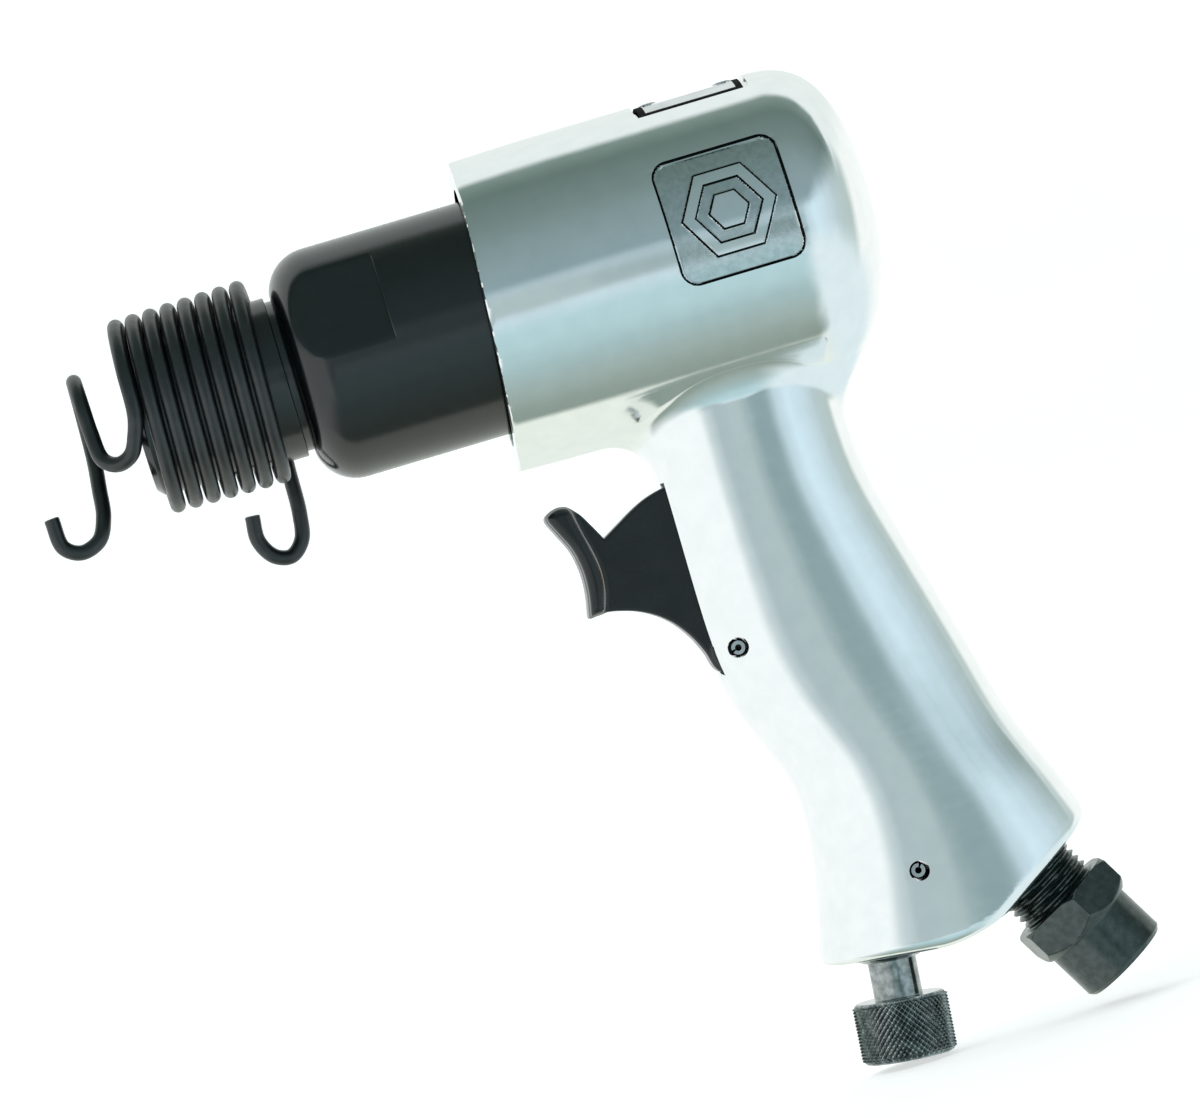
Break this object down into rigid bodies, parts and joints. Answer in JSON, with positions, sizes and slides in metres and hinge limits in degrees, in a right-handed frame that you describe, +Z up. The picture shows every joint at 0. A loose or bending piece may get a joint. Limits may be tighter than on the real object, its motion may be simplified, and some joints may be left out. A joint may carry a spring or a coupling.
{
  "type": "pneumatic air hammer",
  "caption": "Pistol-grip air hammer: cast housing, steel barrel with open coil chisel retainer, trigger, air regulator knob and threaded air inlet.",
  "frame": {"origin": "middle of the bounding box", "axes": "-X along the barrel towards the chisel end, +Z up through the barrel with the grip hanging down, Y across the tool"},
  "size_m": [0.1716, 0.0576, 0.1794],
  "materials": {
    "cast_aluminium": "polished casting with a fine brushed grain",
    "black_steel": "turned steel, black oxide, satin",
    "spring_steel": "oil-tempered spring wire, dark grey",
    "ground_steel": "hardened and ground",
    "fitting_steel": "dark phosphate coating, slightly oily",
    "black_plastic": "moulded, semi-gloss",
    "rubber": "nitrile, matt",
    "brass": "turned",
    "plate": "blank rolled plate, satin"
  },
  "bodies": {
    "frame": {"handle_housing": "cast_aluminium", "barrel": "black_steel", "valve_block": "ground_steel", "valve_cap": "ground_steel", "valve_dowel_upper": "ground_steel", "valve_dowel_lower": "ground_steel", "valve_spring_washer": "ground_steel", "chamber_gasket": "rubber", "trigger_pin": "ground_steel", "throttle_bushing": "brass", "bushing_o_ring": "rubber", "throttle_spring": "ground_steel", "regulator_pin": "ground_steel", "inlet_bushing": "fitting_steel", "inlet_screen": "ground_steel", "nameplate": "plate", "nameplate_rivet_front": "ground_steel", "nameplate_rivet_rear": "ground_steel"},
    "retainer": {"retainer_spring": "spring_steel"},
    "piston_body": {"piston": "ground_steel"},
    "valve": {"valve_disc": "ground_steel"},
    "trigger_body": {"trigger": "black_plastic"},
    "throttle": {"throttle_plunger": "ground_steel", "throttle_washer": "rubber"},
    "regulator": {"regulator_screw": "black_steel", "regulator_o_ring_lower": "rubber", "regulator_o_ring_upper": "rubber"}
  },
  "joints": [
    {"name": "trigger_pull", "type": "hinge", "parent": "frame", "child": "trigger_body", "pos_m": [0.02652, 0, -0.00912], "axis": [0, 1, 0], "range_deg": [0, 8], "stiffness_Nm_per_rad": 0.5, "springref_deg": -20.05},
    {"name": "throttle_slide", "type": "slide", "parent": "frame", "child": "throttle", "axis": [1, 0, 0], "range_m": [0, 0.0026], "deforming": ["throttle_spring"]},
    {"name": "piston_stroke", "type": "slide", "parent": "frame", "child": "piston_body", "axis": [-1, 0, 0], "range_m": [0, 0.041]},
    {"name": "valve_shift", "type": "slide", "parent": "frame", "child": "valve", "axis": [1, 0, 0], "range_m": [0, 0.0012]},
    {"name": "regulator_turn", "type": "hinge", "parent": "frame", "child": "regulator", "pos_m": [0.03762, 0, -0.07042], "axis": [-0.0958, 0, -0.9954], "continuous": true},
    {"name": "retainer_turn", "type": "hinge", "parent": "frame", "child": "retainer", "pos_m": [-0.04978, 0, 0.06058], "axis": [1, 0, 0], "continuous": true}
  ],
  "couplings": [
    {"joint": "throttle_slide", "follows": "trigger_pull", "m_per_rad": 0.018}
  ]
}
